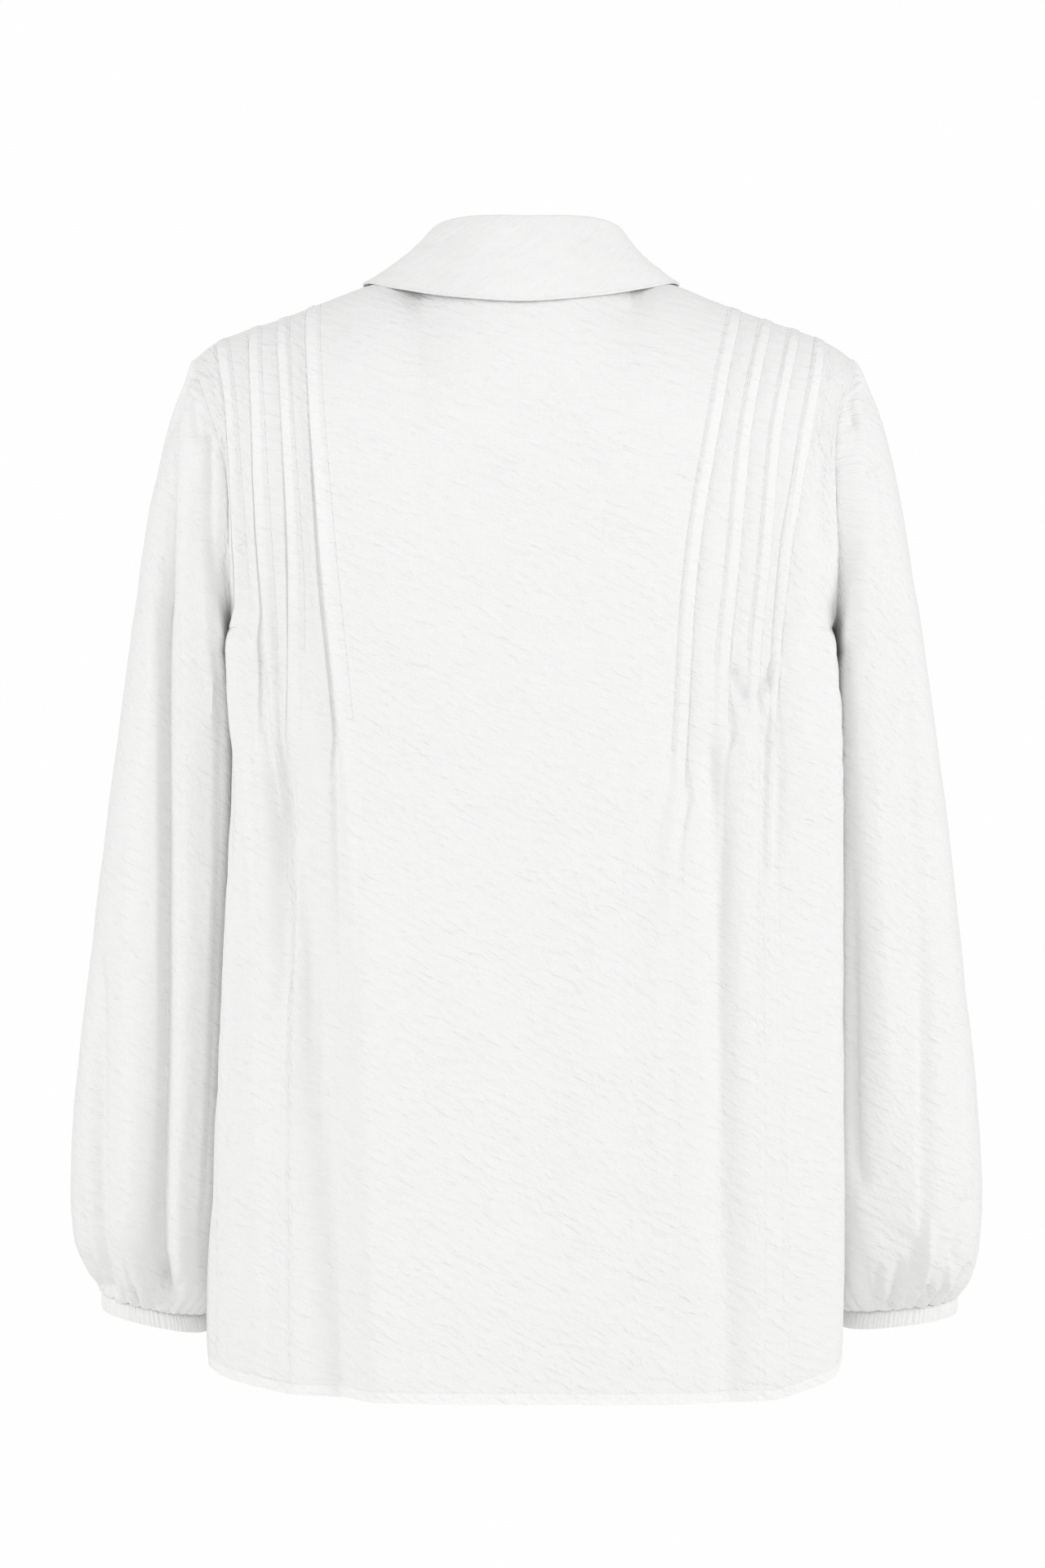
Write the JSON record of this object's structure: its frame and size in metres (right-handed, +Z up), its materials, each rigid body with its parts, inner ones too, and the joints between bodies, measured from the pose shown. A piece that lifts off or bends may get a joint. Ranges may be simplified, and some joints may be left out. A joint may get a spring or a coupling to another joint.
{
  "type": "button-up shirt with shoulder tucks",
  "caption": "White button-up blouse with shoulder tucks, turned-down collar and full sleeves on elastic cuffs, filled out as worn and hollow.",
  "frame": {"origin": "middle of the neck, level with the points where the neck and shoulder seams meet, where the wearer's shoulders carry the blouse", "axes": "+Z up, the front faces -Y and the back +Y, +X towards the wearer's left"},
  "size_m": [0.5782, 0.239, 0.7252],
  "materials": {
    "cloth": "white crinkled plain weave, matt",
    "elastic_cuff": "the same cloth gathered in fine ribs on elastic, matt",
    "button": "off-white four-hole button, softly polished"
  },
  "bodies": {
    "root": {"back": "cloth", "front_left": "cloth", "front_right": "cloth", "placket": "cloth", "sleeve_left": "cloth", "sleeve_right": "cloth", "cuff_left": "elastic_cuff", "cuff_right": "elastic_cuff", "collar_stand": "cloth", "collar_fall": "cloth", "button_collar": "button", "button_1": "button", "button_2": "button", "button_3": "button", "button_4": "button", "button_5": "button", "button_6": "button", "button_7": "button"}
  },
  "joints": []
}
